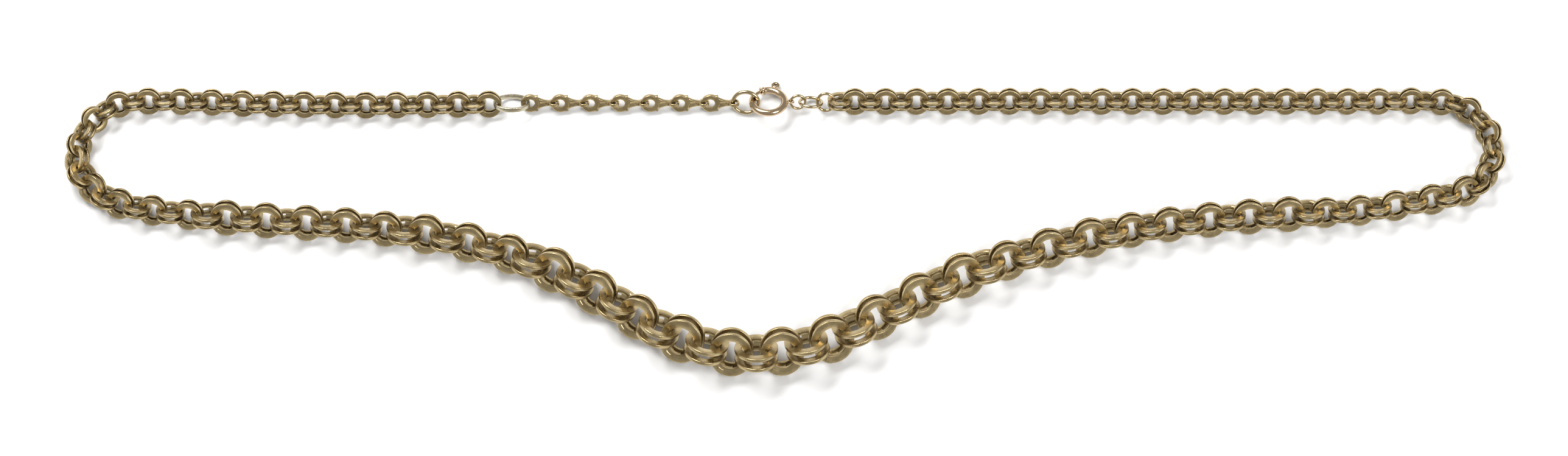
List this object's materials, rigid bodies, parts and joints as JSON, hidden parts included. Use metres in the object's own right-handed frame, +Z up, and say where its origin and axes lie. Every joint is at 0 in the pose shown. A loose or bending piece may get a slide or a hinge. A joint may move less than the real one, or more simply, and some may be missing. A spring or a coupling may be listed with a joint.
{
  "type": "pocket watch chain",
  "caption": "Graduated double-ring watch chain with a trumpet-link extension, clasped end to end by a spring bolt ring.",
  "frame": {"origin": "on the surface the chain lies on, under the centre of the loop's bounding box", "axes": "+X along the loop towards the bolt ring's side of the run, +Y from the largest links towards the clasp, +Z up"},
  "size_m": [0.2376, 0.0508, 0.0076],
  "materials": {
    "chain_gold": "antique yellow gold, polished flats with dark patina in the recesses",
    "ring_gold": "polished drawn wire, yellow gold",
    "clasp_gold": "polished tube, slightly rosier gold",
    "pale_gold": "pale silvery gold strip, lightly pitted edge",
    "spring_steel": "dull spring wire inside the bolt ring"
  },
  "bodies": {
    "chain_centre": {"chain_segment_21": "chain_gold"},
    "chain_left_01": {"chain_segment_20": "chain_gold", "chain_segment_19": "chain_gold"},
    "chain_left_02": {"chain_segment_18": "chain_gold", "chain_segment_17": "chain_gold"},
    "chain_left_03": {"chain_segment_16": "chain_gold", "chain_segment_15": "chain_gold"},
    "chain_left_04": {"chain_segment_14": "chain_gold", "chain_segment_13": "chain_gold"},
    "chain_left_05": {"chain_segment_12": "chain_gold", "chain_segment_11": "chain_gold"},
    "chain_left_06": {"chain_segment_10": "chain_gold", "chain_segment_09": "chain_gold"},
    "chain_left_07": {"chain_segment_08": "chain_gold", "chain_segment_07": "chain_gold"},
    "chain_left_08": {"chain_segment_06": "chain_gold", "chain_segment_05": "chain_gold"},
    "chain_left_09": {"chain_segment_04": "chain_gold", "chain_segment_03": "chain_gold"},
    "chain_left_10": {"chain_segment_02": "chain_gold", "chain_segment_01": "chain_gold"},
    "chain_right_01": {"chain_segment_22": "chain_gold", "chain_segment_23": "chain_gold"},
    "chain_right_02": {"chain_segment_24": "chain_gold"},
    "chain_right_03": {"chain_segment_25": "chain_gold", "chain_segment_26": "chain_gold"},
    "chain_right_04": {"chain_segment_27": "chain_gold", "chain_segment_28": "chain_gold"},
    "chain_right_05": {"chain_segment_29": "chain_gold", "chain_segment_30": "chain_gold"},
    "chain_right_06": {"chain_segment_31": "chain_gold", "chain_segment_32": "chain_gold"},
    "chain_right_07": {"chain_segment_33": "chain_gold", "chain_segment_34": "chain_gold"},
    "chain_right_08": {"chain_segment_35": "chain_gold", "chain_segment_36": "chain_gold"},
    "chain_right_09": {"chain_segment_37": "chain_gold", "chain_segment_38": "chain_gold"},
    "chain_right_10": {"chain_segment_39": "chain_gold", "chain_segment_40": "chain_gold"},
    "chain_right_11": {"chain_segment_41": "chain_gold", "chain_segment_42": "chain_gold"},
    "chain_right_12": {"chain_segment_43": "chain_gold", "chain_segment_44": "chain_gold", "chain_segment_45": "chain_gold"},
    "oval_jump_ring": {"oval_jump_ring": "pale_gold"},
    "extension_link_1": {"extension_link_1": "chain_gold"},
    "extension_link_2": {"extension_link_2": "chain_gold"},
    "extension_link_3": {"extension_link_3": "chain_gold"},
    "extension_link_4": {"extension_link_4": "chain_gold"},
    "extension_link_5": {"extension_link_5": "chain_gold"},
    "extension_link_6": {"extension_link_6": "chain_gold"},
    "extension_link_7": {"extension_link_7": "chain_gold"},
    "end_jump_ring": {"end_jump_ring": "ring_gold"},
    "clasp_ring_large": {"clasp_ring_large": "ring_gold"},
    "clasp_ring_oval": {"clasp_ring_oval": "ring_gold"},
    "clasp_ring_round": {"clasp_ring_round": "ring_gold"},
    "bolt_ring_tube": {"bolt_ring_tube": "clasp_gold", "bolt_ring_spring": "spring_steel"},
    "bolt_ring_bolt": {"bolt_ring_bolt": "clasp_gold"}
  },
  "joints": [
    {"name": "loop_opening", "type": "hinge", "parent": "chain_centre", "child": "chain_left_01", "pos_m": [-0.00662, -0.02149, 0.00379], "axis": [0, 0, 1], "range_deg": [0, 16.12]},
    {"name": "contact_18_19", "type": "hinge", "parent": "chain_left_01", "child": "chain_left_02", "pos_m": [-0.02896, -0.01221, 0.00353], "axis": [0, 0, 1], "range_deg": [-16.87, 0]},
    {"name": "contact_16_17", "type": "hinge", "parent": "chain_left_02", "child": "chain_left_03", "pos_m": [-0.04989, -0.00323, 0.00311], "axis": [0, 0, 1], "range_deg": [-16.11, 0]},
    {"name": "contact_14_15", "type": "hinge", "parent": "chain_left_03", "child": "chain_left_04", "pos_m": [-0.07029, 0.00012, 0.00275], "axis": [0, 0, 1], "range_deg": [-11.02, 0]},
    {"name": "contact_12_13", "type": "hinge", "parent": "chain_left_04", "child": "chain_left_05", "pos_m": [-0.09606, 0.00194, 0.00254], "axis": [0, 0, 1], "range_deg": [0, 4.85]},
    {"name": "contact_10_11", "type": "hinge", "parent": "chain_left_05", "child": "chain_left_06", "pos_m": [-0.11252, 0.00577, 0.00236], "axis": [0, 0, 1], "range_deg": [0, 28.01]},
    {"name": "contact_08_09", "type": "hinge", "parent": "chain_left_06", "child": "chain_left_07", "pos_m": [-0.11581, 0.01525, 0.00206], "axis": [0, 0, 1], "range_deg": [0, 28.01]},
    {"name": "contact_06_07", "type": "hinge", "parent": "chain_left_07", "child": "chain_left_08", "pos_m": [-0.1084, 0.02144, 0.00206], "axis": [0, 0, 1], "range_deg": [0, 7.89]},
    {"name": "contact_04_05", "type": "hinge", "parent": "chain_left_08", "child": "chain_left_09", "pos_m": [-0.08813, 0.02121, 0.00206], "axis": [0, 0, 1], "range_deg": [-10.32, 0]},
    {"name": "contact_02_03", "type": "hinge", "parent": "chain_left_09", "child": "chain_left_10", "pos_m": [-0.06784, 0.02094, 0.00206], "axis": [0, 0, 1], "range_deg": [-8.83, 0]},
    {"name": "contact_21_22", "type": "hinge", "parent": "chain_centre", "child": "chain_right_01", "pos_m": [0.00562, -0.01974, 0.00379], "axis": [0, 0, 1], "range_deg": [-3.94, 0]},
    {"name": "contact_23_24", "type": "hinge", "parent": "chain_right_01", "child": "chain_right_02", "pos_m": [0.02724, -0.00918, 0.00353], "axis": [0, 0, 1], "range_deg": [0, 8.13]},
    {"name": "contact_24_25", "type": "hinge", "parent": "chain_right_02", "child": "chain_right_03", "pos_m": [0.03798, -0.00524, 0.00311], "axis": [0, 0, 1], "range_deg": [0, 13.8]},
    {"name": "contact_26_27", "type": "hinge", "parent": "chain_right_03", "child": "chain_right_04", "pos_m": [0.05839, -0.00027, 0.00275], "axis": [0, 0, 1], "range_deg": [0, 14.07]},
    {"name": "contact_28_29", "type": "hinge", "parent": "chain_right_04", "child": "chain_right_05", "pos_m": [0.08409, 0.00222, 0.00275], "axis": [0, 0, 1], "range_deg": [0, 5.67]},
    {"name": "contact_30_31", "type": "hinge", "parent": "chain_right_05", "child": "chain_right_06", "pos_m": [0.10982, 0.00556, 0.00236], "axis": [0, 0, 1], "range_deg": [-25.83, 0]},
    {"name": "contact_32_33", "type": "hinge", "parent": "chain_right_06", "child": "chain_right_07", "pos_m": [0.11664, 0.01256, 0.00206], "axis": [0, 0, 1], "range_deg": [-28.01, 0]},
    {"name": "contact_34_35", "type": "hinge", "parent": "chain_right_07", "child": "chain_right_08", "pos_m": [0.11178, 0.02066, 0.00206], "axis": [0, 0, 1], "range_deg": [-17.61, 0]},
    {"name": "contact_36_37", "type": "hinge", "parent": "chain_right_08", "child": "chain_right_09", "pos_m": [0.09673, 0.0216, 0.00206], "axis": [0, 0, 1], "range_deg": [0, 10.6]},
    {"name": "contact_38_39", "type": "hinge", "parent": "chain_right_09", "child": "chain_right_10", "pos_m": [0.07643, 0.0216, 0.00206], "axis": [0, 0, 1], "range_deg": [0, 8.16]},
    {"name": "contact_40_41", "type": "hinge", "parent": "chain_right_10", "child": "chain_right_11", "pos_m": [0.05613, 0.0216, 0.00206], "axis": [0, 0, 1], "range_deg": [0, 6.22]},
    {"name": "contact_42_43", "type": "hinge", "parent": "chain_right_11", "child": "chain_right_12", "pos_m": [0.03583, 0.0216, 0.00206], "axis": [0, 0, 1], "range_deg": [0, 11.3]},
    {"name": "oval_ring_swing", "type": "hinge", "parent": "chain_left_10", "child": "oval_jump_ring", "pos_m": [-0.04751, 0.02125, 0.002], "axis": [0, 0, 1], "range_deg": [-3.95, 0]},
    {"name": "extension_swing_1", "type": "hinge", "parent": "oval_jump_ring", "child": "extension_link_1", "pos_m": [-0.04262, 0.02145, 0.0016], "axis": [0, 0, 1], "range_deg": [-2.09, 0]},
    {"name": "extension_swing_2", "type": "hinge", "parent": "extension_link_1", "child": "extension_link_2", "pos_m": [-0.03768, 0.02145, 0.00155], "axis": [0, 0, 1], "range_deg": [-2.08, 0]},
    {"name": "extension_swing_3", "type": "hinge", "parent": "extension_link_2", "child": "extension_link_3", "pos_m": [-0.03272, 0.02145, 0.00155], "axis": [0, 0, 1], "range_deg": [-2.08, 0]},
    {"name": "extension_swing_4", "type": "hinge", "parent": "extension_link_3", "child": "extension_link_4", "pos_m": [-0.02776, 0.02145, 0.00155], "axis": [0, 0, 1], "range_deg": [-2.07, 0]},
    {"name": "extension_swing_5", "type": "hinge", "parent": "extension_link_4", "child": "extension_link_5", "pos_m": [-0.0228, 0.02145, 0.00155], "axis": [0, 0, 1], "range_deg": [-2.07, 0]},
    {"name": "extension_swing_6", "type": "hinge", "parent": "extension_link_5", "child": "extension_link_6", "pos_m": [-0.01784, 0.02145, 0.00155], "axis": [0, 0, 1], "range_deg": [-2.06, 0]},
    {"name": "extension_swing_7", "type": "hinge", "parent": "extension_link_6", "child": "extension_link_7", "pos_m": [-0.01288, 0.02145, 0.00155], "axis": [0, 0, 1], "range_deg": [-2.76, 0]},
    {"name": "end_ring_swivel", "type": "hinge", "parent": "extension_link_7", "child": "end_jump_ring", "pos_m": [-0.00641, 0.02145, 0.0019], "axis": [1, 0, 0], "range_deg": [-8, 8]},
    {"name": "large_ring_swivel", "type": "hinge", "parent": "chain_right_12", "child": "clasp_ring_large", "pos_m": [0.00679, 0.02145, 0.00198], "axis": [1, 0, 0], "range_deg": [-5, 5]},
    {"name": "oval_ring_swivel", "type": "hinge", "parent": "clasp_ring_large", "child": "clasp_ring_oval", "pos_m": [0.00431, 0.02145, 0.00198], "axis": [1, 0, 0], "range_deg": [-5, 5]},
    {"name": "round_ring_swivel", "type": "hinge", "parent": "clasp_ring_oval", "child": "clasp_ring_round", "pos_m": [0.00219, 0.02145, 0.00212], "axis": [1, 0, 0], "range_deg": [-5, 5]},
    {"name": "bolt_ring_swivel", "type": "hinge", "parent": "clasp_ring_round", "child": "bolt_ring_tube", "pos_m": [-0.00266, 0.02145, 0.0023], "axis": [1, 0, 0], "range_deg": [-8, 8]},
    {"name": "bolt_slide", "type": "hinge", "parent": "bolt_ring_tube", "child": "bolt_ring_bolt", "pos_m": [-0.00266, 0.02145, 0.00235], "axis": [0, 0.4794, 0.8776], "range_deg": [-30, 0], "stiffness_Nm_per_rad": 0.0002, "springref_deg": 28.65, "deforming": ["bolt_ring_spring"]}
  ],
  "couplings": [
    {"joint": "contact_18_19", "follows": "loop_opening", "ratio": -1.0465},
    {"joint": "contact_16_17", "follows": "loop_opening", "ratio": -0.99917},
    {"joint": "contact_14_15", "follows": "loop_opening", "ratio": -0.68372},
    {"joint": "contact_12_13", "follows": "loop_opening", "ratio": 0.30091},
    {"joint": "contact_10_11", "follows": "loop_opening", "ratio": 1.7373},
    {"joint": "contact_08_09", "follows": "loop_opening", "ratio": 1.7373},
    {"joint": "contact_06_07", "follows": "loop_opening", "ratio": 0.48917},
    {"joint": "contact_04_05", "follows": "loop_opening", "ratio": -0.64022},
    {"joint": "contact_02_03", "follows": "loop_opening", "ratio": -0.54797},
    {"joint": "contact_21_22", "follows": "loop_opening", "ratio": -0.24415},
    {"joint": "contact_23_24", "follows": "loop_opening", "ratio": 0.50433},
    {"joint": "contact_24_25", "follows": "loop_opening", "ratio": 0.85599},
    {"joint": "contact_26_27", "follows": "loop_opening", "ratio": 0.87267},
    {"joint": "contact_28_29", "follows": "loop_opening", "ratio": 0.3515},
    {"joint": "contact_30_31", "follows": "loop_opening", "ratio": -1.6021},
    {"joint": "contact_32_33", "follows": "loop_opening", "ratio": -1.7373},
    {"joint": "contact_34_35", "follows": "loop_opening", "ratio": -1.0925},
    {"joint": "contact_36_37", "follows": "loop_opening", "ratio": 0.6576},
    {"joint": "contact_38_39", "follows": "loop_opening", "ratio": 0.50629},
    {"joint": "contact_40_41", "follows": "loop_opening", "ratio": 0.38573},
    {"joint": "contact_42_43", "follows": "loop_opening", "ratio": 0.70099},
    {"joint": "oval_ring_swing", "follows": "loop_opening", "ratio": -0.24475},
    {"joint": "extension_swing_1", "follows": "loop_opening", "ratio": -0.12959},
    {"joint": "extension_swing_2", "follows": "loop_opening", "ratio": -0.12904},
    {"joint": "extension_swing_3", "follows": "loop_opening", "ratio": -0.12883},
    {"joint": "extension_swing_4", "follows": "loop_opening", "ratio": -0.12843},
    {"joint": "extension_swing_5", "follows": "loop_opening", "ratio": -0.12811},
    {"joint": "extension_swing_6", "follows": "loop_opening", "ratio": -0.1279},
    {"joint": "extension_swing_7", "follows": "loop_opening", "ratio": -0.17145}
  ]
}
